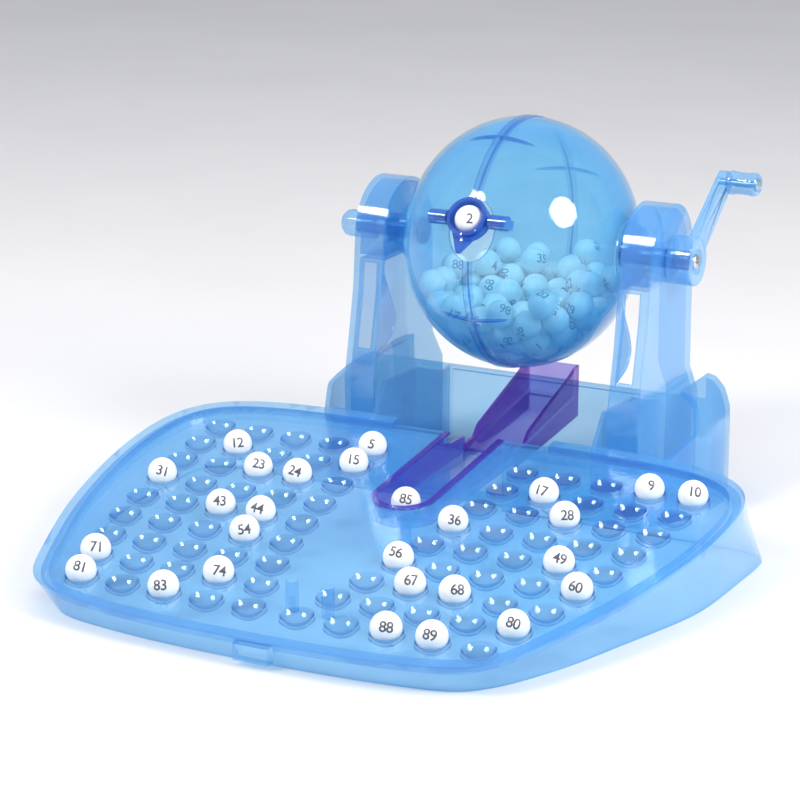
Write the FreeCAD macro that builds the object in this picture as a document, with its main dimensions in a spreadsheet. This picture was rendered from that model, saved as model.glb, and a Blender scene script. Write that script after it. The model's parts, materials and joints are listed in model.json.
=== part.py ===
import FreeCAD, Part
import math
import os
import Sketcher
from FreeCAD import Vector as V

# Bingo cage with ball board. Millimetres, +Z up, the table is z = 0, +X is the crank side
# and -Y is the players' side. The origin is the bottom centre of the whole set.

doc = FreeCAD.newDocument("bingo_cage")

# ---------------------------------------------------------------- driving dimensions
DIMS = [
    ("pitch", 18.5, "cup to cup spacing along a row; most of the set is laid out on it"),
    ("ball_r", 6.0, "ball radius"),
    ("front_y", -150.0, "front of the board"),
    ("row5_y", -48.6, "fifth row of cups"),
    ("deck_slope", 6.73, "slope of the cup deck, degrees"),
    ("deck_mid", 19.4, "deck height at the fifth row"),
    ("wall", 1.8, "wall of the board and stand"),
    ("rim_w", 6.0, "width of the board's raised rim"),
    ("rim_up", 3.2, "rim height over the deck"),
    ("cup_a", 6.5, "cup mouth radius"),
    ("cup_d", 4.2, "cup depth"),
    ("cup_wall", 1.2, "cup wall"),
    ("axle_y", 95.4, "globe axis"),
    ("axle_z", 105.5, "globe axis height"),
    ("axle_r", 4.0, "axle radius"),
    ("axle_gap", 0.08, "running clearance of the axle, radial"),
    ("globe_r", 53.6, "globe radius across its axis"),
    ("globe_a", 50.0, "globe half length along its axis"),
    ("globe_wall", 1.5, "globe wall"),
    ("collar_r", 12.0, "pole collar radius"),
    ("collar_x", 53.4, "pole collar end"),
    ("head_r", 23.0, "pillar head radius"),
    ("pil_in", 54.6, "pillar inner face"),
    ("pil_out", 68.6, "pillar outer face"),
    ("pil_wall", 1.8, "pillar wall"),
    ("hub_r", 10.2, "crank hub radius"),
    ("hub_in", 69.3, "crank hub inner face"),
    ("hub_out", 79.8, "crank hub outer face"),
    ("arm_in", 74.0, "crank arm inner face"),
    ("arm_out", 78.2, "crank arm outer face"),
    ("arm_len", 46.0, "axle to handle"),
    ("arm_tilt", 35.0, "crank arm over the horizontal, degrees"),
    ("knob_r", 5.1, "crank handle radius"),
    ("knob_len", 13.4, "crank handle length"),
    ("pin_r", 1.5, "handle pin radius"),
    ("cap_r", 6.0, "left end knob radius"),
    ("cap_out", 86.5, "left end knob tip"),
    ("gate_t", 21.0, "exit gate above the horizontal, degrees"),
    ("gate_out", 2.0, "gate pivot outside the globe surface"),
    ("ring_r", 8.6, "gate ring outer radius"),
    ("ring_in", 7.2, "gate ring inner radius"),
    ("trun_r", 1.5, "gate trunnion radius"),
    ("lug_r", 3.1, "gate bearing radius"),
    ("chute_w", 11.1, "chute half width inside"),
    ("chute_wall", 1.6, "chute wall"),
]
sheet = doc.addObject("Spreadsheet::Sheet", "Dims")
VAL = {}
for i, (name, value, note) in enumerate(DIMS):
    sheet.set("A%d" % (i + 1), name)
    sheet.set("B%d" % (i + 1), repr(value))
    sheet.set("C%d" % (i + 1), note)
    sheet.setAlias("B%d" % (i + 1), name)
    VAL[name] = value
doc.recompute()


class Q:
    """A number that carries the spreadsheet formula that gives it."""

    def __init__(self, v, t):
        self.v = float(v)
        self.t = t

    @staticmethod
    def of(o):
        return o if isinstance(o, Q) else Q(o, "%.6g" % o)

    def _op(self, o, f, s):
        o = Q.of(o)
        return Q(f(self.v, o.v), "(%s %s %s)" % (self.t, s, o.t))

    def __add__(self, o):
        return self._op(o, lambda a, b: a + b, "+")

    def __sub__(self, o):
        return self._op(o, lambda a, b: a - b, "-")

    def __mul__(self, o):
        return self._op(o, lambda a, b: a * b, "*")

    def __truediv__(self, o):
        return self._op(o, lambda a, b: a / b, "/")

    def __neg__(self):
        return Q(-self.v, "(0 - %s)" % self.t)


def d(name):
    return Q(sheet.get(name), "Dims." + name)


P = d("pitch").v
AY, AZ = d("axle_y").v, d("axle_z").v
R5 = d("row5_y").v
ALPHA = math.radians(d("deck_slope").v)
W = d("wall").v


def yy(k):
    """Position k pitches behind the fifth row."""
    return R5 + k * P


# ---------------------------------------------------------------- helpers
OUT = []


def done(obj, label):
    obj.Label = label
    OUT.append(obj)
    return obj


def new_body(label, base=(0, 0, 0), rot=None):
    b = doc.addObject("PartDesign::Body", "Body_" + label)
    b.Label = label
    b.Placement = FreeCAD.Placement(V(*base), rot or FreeCAD.Rotation())
    OUT.append(b)
    return b


def plane(body, role):
    for f in body.Origin.OriginFeatures:
        if f.Role == role:
            return f
    raise ValueError(role)


def new_sketch(body, role, name, off=None):
    sk = body.newObject("Sketcher::SketchObject", name)
    sk.AttachmentSupport = [(plane(body, role), "")]
    sk.MapMode = "FlatFace"
    if off is not None:
        off = Q.of(off)
        sk.AttachmentOffset = FreeCAD.Placement(V(0, 0, off.v), FreeCAD.Rotation())
        sk.setExpression("AttachmentOffset.Base.z", off.t)
    return sk


def dim(sk, kind, *args):
    q = Q.of(args[-1])
    n = sk.addConstraint(Sketcher.Constraint(kind, *args[:-1], q.v))
    if q.t.find("Dims") >= 0:
        sk.setExpression("Constraints[%d]" % n, q.t)
    return n


def outline(sk, verts):
    """A closed polygon with every vertex placed from the sheet."""
    vs = [(Q.of(a), Q.of(b)) for a, b in verts]
    n = len(vs)
    g0 = sk.GeometryCount
    for i in range(n):
        a, b = vs[i], vs[(i + 1) % n]
        sk.addGeometry(Part.LineSegment(V(a[0].v, a[1].v, 0), V(b[0].v, b[1].v, 0)), False)
    for i in range(n):
        sk.addConstraint(Sketcher.Constraint("Coincident", g0 + i, 2, g0 + (i + 1) % n, 1))
    for i in range(n):
        for kind, q in (("DistanceX", vs[i][0]), ("DistanceY", vs[i][1])):
            if abs(q.v) < 1e-9 and q.t.find("Dims") < 0:
                sk.addConstraint(Sketcher.Constraint("PointOnObject", g0 + i, 1, -2 if kind == "DistanceX" else -1))
            else:
                dim(sk, kind, -1, 1, g0 + i, 1, q)


def circle(sk, cx, cy, r):
    cx, cy, r = Q.of(cx), Q.of(cy), Q.of(r)
    g = sk.addGeometry(Part.Circle(V(cx.v, cy.v, 0), V(0, 0, 1), r.v), False)
    dim(sk, "Radius", g, r)
    for kind, q in (("DistanceX", cx), ("DistanceY", cy)):
        if abs(q.v) < 1e-9:
            sk.addConstraint(Sketcher.Constraint("PointOnObject", g, 3, -2 if kind == "DistanceX" else -1))
        else:
            dim(sk, kind, -1, 1, g, 3, q)
    return g


def pad(body, sk, length, name, rev=False, mid=False):
    f = body.newObject("PartDesign::Pad", name)
    f.Profile = sk
    length = Q.of(length)
    f.Length = length.v
    if "Dims" in length.t:
        f.setExpression("Length", length.t)
    f.Reversed = rev
    f.Midplane = mid
    doc.recompute()
    return f


def pocket(body, sk, length, name, rev=False, mid=False):
    before = body.Shape.Volume
    f = body.newObject("PartDesign::Pocket", name)
    f.Profile = sk
    length = Q.of(length)
    f.Length = length.v
    if "Dims" in length.t:
        f.setExpression("Length", length.t)
    f.Reversed = rev
    f.Midplane = mid
    doc.recompute()
    if not body.Shape.Volume < before - 0.05:
        raise RuntimeError("pocket %s cuts nothing" % name)
    return f


def revolve(body, verts, name="profile"):
    """A turned piece: radius and height pairs in the XZ plane, spun about Z."""
    sk = new_sketch(body, "XZ_Plane", body.Label + "_" + name)
    outline(sk, verts)
    f = body.newObject("PartDesign::Revolution", body.Label + "_turned")
    f.Profile = sk
    f.ReferenceAxis = (sk, ["V_Axis"])
    f.Angle = 360.0
    doc.recompute()
    return f


ALONG_X = FreeCAD.Rotation(V(0, 1, 0), 90)      # local Z becomes +X
ALONG_MX = FreeCAD.Rotation(V(0, 1, 0), -90)    # local Z becomes -X


def feature(label, shape, place=None):
    o = doc.addObject("Part::Feature", "Shape_" + label)
    o.Shape = shape
    if place is not None:
        o.Placement = place
    return done(o, label)


def wire_spline(pts, z=0.0):
    """A smooth closed curve through points in a horizontal plane."""
    c = Part.BSplineCurve()
    c.interpolate([V(x, y, z) for x, y in pts], PeriodicFlag=True)
    return Part.Wire([c.toShape()])


def prism(pts, z0, z1):
    return Part.Face(wire_spline(pts, z0)).extrude(V(0, 0, z1 - z0))


def poly_prism(pts, axis, a0, a1):
    """A straight-sided prism: pts in the plane across axis ('X' takes y, z; 'Z' takes x, y)."""
    if axis == "X":
        vs = [V(a0, p[0], p[1]) for p in pts]
        ext = V(a1 - a0, 0, 0)
    elif axis == "Y":
        vs = [V(p[0], a0, p[1]) for p in pts]
        ext = V(0, a1 - a0, 0)
    else:
        vs = [V(p[0], p[1], a0) for p in pts]
        ext = V(0, 0, a1 - a0)
    return Part.Face(Part.makePolygon(vs + [vs[0]])).extrude(ext)


def offset_pts(pts, dist):
    """Points moved along the curve's outward normal (positive is outward)."""
    n = len(pts)
    out = []
    for i in range(n):
        x0, y0 = pts[i - 1]
        x1, y1 = pts[(i + 1) % n]
        tx, ty = x1 - x0, y1 - y0
        L = math.hypot(tx, ty)
        out.append((pts[i][0] + ty / L * dist, pts[i][1] - tx / L * dist))
    return out


def dense(pts, step=6.0):
    """The same closed curve, sampled finely enough to be offset."""
    w = wire_spline(pts)
    n = max(24, int(w.Length / step))
    e = w.Edges[0]
    return [(p.x, p.y) for p in e.discretize(Number=n + 1)[:-1]]


def deck_place(x, k, up):
    """A point given as x (mm), k pitches up the deck from the fifth row, up mm off the deck."""
    ca, sa = math.cos(ALPHA), math.sin(ALPHA)
    return V(x, R5 + k * P * ca - up * sa, d("deck_mid").v + k * P * sa + up * ca)


DECK_ROT = FreeCAD.Rotation(V(1, 0, 0), math.degrees(ALPHA))


def over_deck(up, deep=160.0):
    """Everything higher than a plane parallel to the deck and up mm above it."""
    b = Part.makeBox(700, 700, deep, V(-350, -350, 0))
    p = deck_place(0, 0, up)
    b.Placement = FreeCAD.Placement(p, DECK_ROT)
    return b


# ---------------------------------------------------------------- ball board
# Right half of the rim's inner edge, in pitches on the deck (x, distance up the deck).
RIM = [(0, -5.16), (1.2, -5.14), (2.4, -5.08), (3.5, -4.95), (4.4, -4.74), (4.95, -4.42), (5.3, -3.9),
       (5.62, -3.1), (5.95, -2.2), (6.3, -1.1), (6.6, 0.2), (6.8, 1.4), (6.88, 2.5), (6.83, 3.4),
       (6.62, 4.05), (6.2, 4.52), (5.5, 4.82), (4.6, 4.98), (3.4, 5.06), (2.2, 5.08), (1.1, 5.08), (0, 5.08)]
ca = math.cos(ALPHA)
half = [(x * P, R5 + k * P * ca) for x, k in RIM]
inner0 = half + [(-x, y) for x, y in reversed(half[1:-1])]
rimcurve = dense(inner0)
rim_w = d("rim_w").v
cx0 = offset_pts(rimcurve, 1.0)
if sum((a[0] ** 2 + a[1] ** 2) ** 0.5 for a in cx0) < sum((a[0] ** 2 + a[1] ** 2) ** 0.5 for a in rimcurve):
    rimcurve = rimcurve[::-1]
outer = offset_pts(rimcurve, rim_w)
skirt_in = offset_pts(rimcurve, rim_w - W)
rim_under = offset_pts(rimcurve, W)
pocket_top = offset_pts(rimcurve, 0.0)

# Outline on the table, matched point for point with the rim: the front wall leans in
# under the rim and the rear corners flare out to a squarer foot.
FOOT = [(0, -5.10), (1.17, -5.09), (2.3, -5.03), (3.3, -4.92), (4.25, -4.74), (4.8, -4.40), (5.2, -3.88), (5.55, -3.2),
        (5.93, -2.3), (6.3, -1.15), (6.72, 0.15), (7.03, 1.37), (7.12, 2.5), (7.15, 3.6), (7.16, 4.5), (6.98, 5.15),
        (6.3, 5.40), (5.2, 5.42), (3.6, 5.42), (2.2, 5.42), (1.1, 5.42), (0, 5.42)]
fh = [(x * P, R5 + k * P) for x, k in FOOT]
foot0 = fh + [(-x, y) for x, y in reversed(fh[1:-1])]
rim0 = [(x, y) for x, y in inner0]
if offset_pts(rim0, 1.0)[0][1] > rim0[0][1]:
    rim0, foot0 = rim0[::-1], foot0[::-1]
TA = math.tan(ALPHA)


def plane_z(y, up):
    """Height of the plane that is up mm off the deck."""
    return d("deck_mid").v + (y - R5) * TA + up / math.cos(ALPHA)


def skirt(inset, z0, up):
    """Solid between the foot outline and the rim's outer outline, both drawn in by inset."""
    top = offset_pts(rim0, rim_w - inset)
    bot = offset_pts(foot0, -inset)
    n = len(top)
    ws = []
    for pts, zf in ((bot, lambda y: z0), (top, lambda y: plane_z(y, up))):
        c = Part.BSplineCurve()
        c.interpolate(Points=[V(x, y, zf(y)) for x, y in pts], PeriodicFlag=True, Parameters=[float(i) for i in range(n + 1)])
        ws.append(Part.Wire([c.toShape()]))
    return Part.makeLoft(ws, True, True)


shell = skirt(0.0, 0.0, d("rim_up").v)
print("skirt", shell.isValid(), round(shell.Volume))
board = shell.cut(prism(pocket_top, -1, 90).common(over_deck(0)))
hollow = skirt(W, -0.3, d("rim_up").v)
under = hollow.cut(over_deck(-W))
channel = hollow.cut(prism(rim_under, -2, 95)).cut(over_deck(d("rim_up").v - W))
board = board.cut(under)
board = board.cut(channel)

# The rear rim is open in the middle, where the chute comes over the deck.
gap = Part.makeBox(2 * 1.95 * P, 40, 60, V(-1.95 * P, yy(4.72), 0))
board = board.cut(gap.common(over_deck(0.0)))
# The slot that the lower chute drops into.
slot_w = d("chute_w").v + d("chute_wall").v + 0.3
slot = Part.makeBox(2 * slot_w, 90, 60, V(-slot_w, yy(1.93), 0))
nose = Part.makeCylinder(slot_w, 60, V(0, yy(1.93), 0))
board = board.cut(slot.fuse(nose))

# Ninety cups in nine rows of ten, each row split by the chute's lane. The rows are
# numbered from the back; xs[0..4] are the left half from outside in.
CUP_X = [1.86, 1.82, 1.73, 1.61, 1.50, 1.33, 1.10, 0.83, 0.55]
CUP_Y = [3.94, 2.97, 2.02, 1.00, 0.00, -0.98, -1.96, -2.89, -3.87]


def cup_xy(n):
    """Cup number 1 to 90: x in pitches, and pitches up the deck."""
    i, j = (n - 1) // 10, (n - 1) % 10
    if j >= 5:
        return CUP_X[i] + (j - 5), CUP_Y[i]
    return -(CUP_X[i] + (4 - j)), CUP_Y[i]


ca_, cd_ = d("cup_a").v, d("cup_d").v
cup_R = (ca_ * ca_ + cd_ * cd_) / (2 * cd_)
cw = d("cup_wall").v
bowl_out, bowl_in = [], []
for n in range(1, 91):
    x, k = cup_xy(n)
    c = deck_place(x * P, k, cup_R - cd_)
    so = Part.makeSphere(cup_R + cw, V(0, 0, 0), V(0, 0, 1), -90, 0, 360)
    so.Placement = FreeCAD.Placement(c, DECK_ROT)
    bowl_out.append(so)
    si = Part.makeSphere(cup_R, V(0, 0, 0), V(0, 0, 1))
    si.Placement = FreeCAD.Placement(c, DECK_ROT)
    bowl_in.append(si)
low = Part.makeBox(700, 700, 60, V(-350, -350, -60.0 - W * 0.5))
low.Placement = FreeCAD.Placement(deck_place(0, 0, 0), DECK_ROT)
caps = [b.common(low) for b in bowl_out]
# Label plate on the front wall and two locating bosses under the deck.
tab = poly_prism([(0.2, 2.2), (14.6, 2.2), (14.6, 8.4), (0.2, 8.4)], "Y", d("front_y").v + 0.7, d("front_y").v + 6.3)
extra, holes = [tab], []
for bx in (-0.42, 0.42):
    q = deck_place(bx * P, -2.35, -W * 0.5)
    extra.append(Part.makeCylinder(2.6, q.z - 0.3, V(q.x, q.y, 0.3)))
    holes.append(Part.makeCylinder(1.2, 5.3, V(q.x, q.y, 0.0)))
board = board.fuse(caps + extra)
board = board.cut(bowl_in + holes)
print("board solids", len(board.Solids), "valid", board.isValid(), "vol", board.Volume)
feature("ball_board", board.Solids[0] if len(board.Solids) == 1 else board)

# ---------------------------------------------------------------- stand base
# Rear frame: a low floor, a cross panel along the back and two flared foot housings.
BY0 = yy(5.46)            # front of the frame, just behind the board's rear wall
BY1 = yy(9.86)            # back of the frame


def housing(sign):
    plan = [(2.72, 5.62), (3.95, 5.62), (4.35, 6.15), (4.68, 6.9), (4.86, 7.6), (4.92, 8.2), (4.86, 8.75), (4.68, 9.2), (4.40, 9.58), (4.05, 9.86), (2.72, 9.86)]
    o = [(x * P, yy(k)) for x, k in plan]
    t = W
    inn = [(o[0][0] + t, o[0][1] + t), (o[1][0] - 0.7, o[1][1] + t)]
    for q in o[2:6]:
        inn.append((q[0] - t, q[1] + 0.5 * t))
    inn += [(o[6][0] - t, o[6][1] - 0.4), (o[7][0] - 1.7, o[7][1] - 0.9), (o[8][0] - 1.2, o[8][1] - 1.4), (o[9][0] - 0.5, o[9][1] - t), (o[10][0] + t, o[10][1] - t)]
    # bowed cross-section of the fairing that covers the foot, outside and inside
    sec = [(2.72, 0), (2.72, 2.75), (3.86, 2.55), (4.12, 2.49), (4.36, 2.37), (4.53, 2.22), (4.66, 2.05), (4.78, 1.78), (4.88, 1.46), (4.95, 1.10), (4.99, 0.75), (5.0, 0)]
    sin_ = [(2.72 * P + t, t), (2.72 * P + t, 70.0), (3.86 * P, 70.0), (3.86 * P, 2.55 * P - t), (4.10 * P, 2.49 * P - t),
            (4.31 * P, 2.37 * P - t), (4.46 * P, 2.22 * P - t), (4.58 * P, 2.05 * P - 1.5), (4.69 * P, 1.78 * P - 1.0), (4.785 * P, 1.46 * P - 0.5), (4.855 * P, 1.10 * P), (4.89 * P, 0.75 * P), (4.9 * P, t)]
    blk = poly_prism([(x * P, z * P) for x, z in sec], "Y", yy(5.62), yy(9.86)).common(poly_prism(o, "Z", 0, 60))
    blk = blk.cut(poly_prism(sin_, "Y", yy(5.5), yy(9.9)).common(poly_prism(inn, "Z", 1.8, 70)))
    # the fairing's front end is open and rises backwards; the inner wall's top falls backwards
    outer_cut = poly_prism([(BY0 - 5, 1.14 * P), (yy(5.62), 1.20 * P), (yy(7.9), 2.34 * P), (yy(8.4), 2.7 * P), (yy(8.4), 80), (BY0 - 5, 80)], "X", 3.86 * P, 6 * P)
    inner_cut = poly_prism([(BY0 - 5, 30), (yy(5.6), 30), (yy(6.25), 44.5), (yy(7.0), 43.6), (yy(7.9), 43.0), (yy(8.8), 37.5), (yy(9.3), 35.6), (BY1 + 5, 35.6), (BY1 + 5, 80), (BY0 - 5, 80)], "X", 2 * P, 3.86 * P)
    blk = blk.cut(outer_cut).cut(inner_cut)
    if sign < 0:
        blk = blk.mirror(V(0, 0, 0), V(1, 0, 0))
    return blk


xi = 2.72 * P
floor_plate = Part.makeBox(2 * xi + 2, BY1 - yy(5.62), 1.8, V(-xi - 1, yy(5.62), 0))
floor_plate = floor_plate.cut(Part.makeBox(2 * 1.7 * P, 2.9 * P, 5, V(-1.7 * P, yy(6.2), -1)))
panel = Part.makeBox(2 * xi + 2, W, 35.6, V(-xi - 1, BY1 - W, 0))
lip = Part.makeBox(2 * xi + 2, 4.0, 1.6, V(-xi - 1, BY1 - 4.0, 34.0))
front = Part.makeBox(2 * xi + 2, W, 14.0, V(-xi - 1, yy(5.62), 0))
base = housing(1).fuse([housing(-1), floor_plate, panel, lip, front])
# the chute's open lane through the front bar
base = base.cut(Part.makeBox(2 * 0.8 * P, 6, 30, V(-0.8 * P, yy(5.55), 5.0)))
base = base.removeSplitter()
print("base solids", len(base.Solids), "valid", base.isValid())
feature("stand_base", base.Solids[0] if len(base.Solids) == 1 else base)


# ---------------------------------------------------------------- pillars
def arc_side(R, cy, cz, y_lo, z_lo, y_hi, z_hi):
    """Head arc of a pillar from its front tangent to its back tangent, as three points."""
    return V(y_lo, z_lo, 0), V(cy, cz + R, 0), V(y_hi, z_hi, 0)


def pillar(sign, label):
    b = new_body(label)
    fx = d("pil_in") if sign > 0 else -d("pil_in")
    hr, t = d("head_r").v, d("pil_wall").v
    y0, y1 = yy(6.0), yy(9.62)

    def side(off):
        """Side outline, drawn in by off."""
        R = hr - off
        return [(y0 + off, 2.0 + (off if off else 0)), (y1 - off, 2.0 + (off if off else 0)), (y1 - off, 40.5), (yy(9.08) - off, 54.0),
                (AY + R, AZ), None, (AY - R, AZ), (yy(6.43) + off, 83.0), (y0 + off, 46.0)]

    def draw(sk, pts):
        n = len(pts)
        k = pts.index(None)
        a, c = pts[k - 1], pts[k + 1]
        segs = [p for p in pts if p is not None]
        gid = []
        for i in range(len(segs)):
            p, q = segs[i], segs[(i + 1) % len(segs)]
            if p == a and q == c:
                arc = Part.Arc(V(a[0], a[1], 0), V(AY, AZ + (a[0] - AY), 0), V(c[0], c[1], 0))
                gid.append(sk.addGeometry(arc, False))
            else:
                gid.append(sk.addGeometry(Part.LineSegment(V(p[0], p[1], 0), V(q[0], q[1], 0)), False))
        return gid

    sk = new_sketch(b, "YZ_Plane", label + "_side", fx)
    draw(sk, side(0.0))
    pad(b, sk, d("pil_out") - d("pil_in"), label + "_block", rev=(sign < 0))
    sk2 = new_sketch(b, "YZ_Plane", label + "_hollow", fx)
    draw(sk2, side(t))
    pocket(b, sk2, d("pil_out") - d("pil_in") - d("pil_wall"), label + "_inside", rev=(sign > 0))
    # bearing boss on the outer wall
    sk3 = new_sketch(b, "YZ_Plane", label + "_boss_plan", (d("pil_out") - d("pil_wall") - 4.0) if sign > 0 else -(d("pil_out") - d("pil_wall") - 4.0))
    circle(sk3, d("axle_y"), d("axle_z"), d("axle_r") + 3.2)
    pad(b, sk3, 4.2, label + "_boss", rev=(sign < 0))
    sk4 = new_sketch(b, "YZ_Plane", label + "_bore_plan", d("pil_out") + 1.0 if sign > 0 else -(d("pil_out") + 1.0))
    circle(sk4, d("axle_y"), d("axle_z"), d("axle_r") + d("axle_gap"))
    pocket(b, sk4, 12.0, label + "_bore", rev=(sign < 0))
    # tall window in the front wall
    sk5 = b.newObject("Sketcher::SketchObject", label + "_window_plan")
    sk5.AttachmentSupport = [(plane(b, "XZ_Plane"), "")]
    sk5.MapMode = "FlatFace"
    sk5.AttachmentOffset = FreeCAD.Placement(V(0, 0, -(y0 + 4.0)), FreeCAD.Rotation())
    xa, xb = 3.11 * P * sign, 3.47 * P * sign
    pts = [(min(xa, xb), 58.0), (max(xa, xb), 58.0), (max(xa, xb), 95.0), (min(xa, xb), 95.0)]
    for i in range(4):
        p, q = pts[i], pts[(i + 1) % 4]
        sk5.addGeometry(Part.LineSegment(V(p[0], p[1], 0), V(q[0], q[1], 0)), False)
    pocket(b, sk5, 22.0, label + "_window", mid=True)
    # head floor and the bowed web along the front inner edge
    sk6 = new_sketch(b, "YZ_Plane", label + "_floor_plan", fx)
    pts = [(yy(6.50) + 0.2, 96.0), (yy(9.07) - 0.2, 96.0), (yy(9.07) - 0.2, 97.8), (yy(6.50) + 0.2, 97.8)]
    outline(sk6, pts)
    pad(b, sk6, d("pil_out") - d("pil_in") - 0.5, label + "_head_floor", rev=(sign < 0))
    sk7 = new_sketch(b, "YZ_Plane", label + "_web_plan", fx)
    web = [(yy(6.42) + 1.0, 95.0), (yy(6.62), 88.5), (yy(6.88), 80.0), (yy(7.12), 71.5), (yy(7.16), 66.5), (yy(7.02), 62.0), (yy(6.56), 58.0), (yy(6.11) + 1.0, 55.2)]
    c = Part.BSplineCurve()
    c.interpolate([V(p[0], p[1], 0) for p in web])
    sk7.addGeometry(c, False)
    sk7.addGeometry(Part.LineSegment(V(web[-1][0], web[-1][1], 0), V(web[0][0], web[0][1], 0)), False)
    pad(b, sk7, 1.4, label + "_web", rev=(sign < 0))
    return b


right = pillar(1, "right_pillar")
twin = doc.addObject("Part::Mirroring", "Shape_left_pillar")
twin.Source = right
twin.Base = (0, 0, 0)
twin.Normal = (1, 0, 0)
doc.recompute()
done(twin, "left_pillar")


def bearing_plate(sign, label):
    b = new_body(label)
    q = d("pil_in")
    R = d("head_r") - d("pil_wall") - 0.12
    sk = new_sketch(b, "YZ_Plane", label + "_plan", q if sign > 0 else -q)
    z0 = 97.95
    h = z0 - AZ
    half_w = math.sqrt(R.v ** 2 - h * h)
    a0 = math.atan2(h, half_w)
    arc = Part.ArcOfCircle(Part.Circle(V(AY, AZ, 0), V(0, 0, 1), R.v), a0, math.pi - a0)
    sk.addGeometry(arc, False)
    sk.addGeometry(Part.LineSegment(V(AY - half_w, z0, 0), V(AY + half_w, z0, 0)), False)
    pad(b, sk, d("pil_wall"), label + "_disc", rev=(sign < 0))
    sk2 = new_sketch(b, "YZ_Plane", label + "_boss_plan", (q + 0.6) if sign > 0 else -(q + 0.6))
    circle(sk2, d("axle_y"), d("axle_z"), d("axle_r") + 2.6)
    pad(b, sk2, 6.2, label + "_boss", rev=(sign < 0))
    sk3 = new_sketch(b, "YZ_Plane", label + "_bore_plan", (q + 10) if sign > 0 else -(q + 10))
    circle(sk3, d("axle_y"), d("axle_z"), d("axle_r") + d("axle_gap"))
    pocket(b, sk3, 14.0, label + "_bore", rev=(sign < 0))
    return b


plate = bearing_plate(1, "right_bearing_plate")
twin = doc.addObject("Part::Mirroring", "Shape_left_bearing_plate")
twin.Source = plate
twin.Base = (0, 0, 0)
twin.Normal = (1, 0, 0)
doc.recompute()
done(twin, "left_bearing_plate")

# ---------------------------------------------------------------- globe
GA, GR, GW = d("globe_a").v, d("globe_r").v, d("globe_wall").v


def half_ellipsoid(a, r):
    """Half of an oblate dome on x >= 0, centred on the origin, axis along X."""
    arc = Part.ArcOfEllipse(Part.Ellipse(V(0, r, 0), V(a, 0, 0), V(0, 0, 0)), 0.0, math.pi / 2) if r > a else Part.ArcOfEllipse(Part.Ellipse(V(a, 0, 0), V(0, r, 0), V(0, 0, 0)), 0.0, math.pi / 2)
    e = arc.toShape()
    p0, p1 = e.firstVertex().Point, e.lastVertex().Point
    w = Part.Wire([e, Part.LineSegment(p1, V(0, 0, 0)).toShape(), Part.LineSegment(V(0, 0, 0), p0).toShape()])
    f = Part.Face(w)
    s = f.revolve(V(0, 0, 0), V(1, 0, 0), 360)
    if s.BoundBox.XMin < -0.01:
        s = s.mirror(V(0, 0, 0), V(1, 0, 0))
    return s


def ring_x(x0, x1, r0, r1):
    c = Part.makeCylinder(r1, x1 - x0, V(x0, 0, 0), V(1, 0, 0))
    if r0 > 0:
        c = c.cut(Part.makeCylinder(r0, x1 - x0 + 2, V(x0 - 1, 0, 0), V(1, 0, 0)))
    return c


def radial(t):
    return V(0, -math.cos(math.radians(t)), math.sin(math.radians(t)))


def surf(x, a=GA, r=GR):
    return r * math.sqrt(max(0.0, 1 - (x / a) ** 2))


def clip_rib(t, span=15.6, rise=1.0, thick=1.3):
    """Crescent snap rib that crosses the seam at angle t round the globe."""
    top = [(-span + 2 * span * i / 16.0) for i in range(17)]
    up = [V(x, 0, surf(x) + rise * (1 - (x / span) ** 2)) for x in top]
    dn = [V(x, 0, surf(x) - 0.7) for x in reversed(top)]
    face = Part.Face(Part.makePolygon(up + dn + [up[0]]))
    s = face.extrude(V(0, thick, 0))
    s.translate(V(0, -thick / 2, 0))
    s.rotate(V(0, 0, 0), V(1, 0, 0), 90 - t)
    return s


GT = d("gate_t").v
PIV = GR + d("gate_out").v
pivot = radial(GT) * PIV
WT = 17.0
ell = Part.Ellipse(V(0, 0, 0), 13.0, 10.2)
wf = Part.Face(Part.Wire([ell.toShape()]))
win = wf.extrude(V(0, 0, 40))
# the ellipse's long axis runs round the globe, its short one along the globe's axis
win.rotate(V(0, 0, 0), V(0, 0, 1), 90)
win.rotate(V(0, 0, 0), V(1, 0, 0), 90 - WT)
win.translate(radial(WT) * 35)
outer_e, inner_e = half_ellipsoid(GA, GR), half_ellipsoid(GA - GW, GR - GW)


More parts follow.
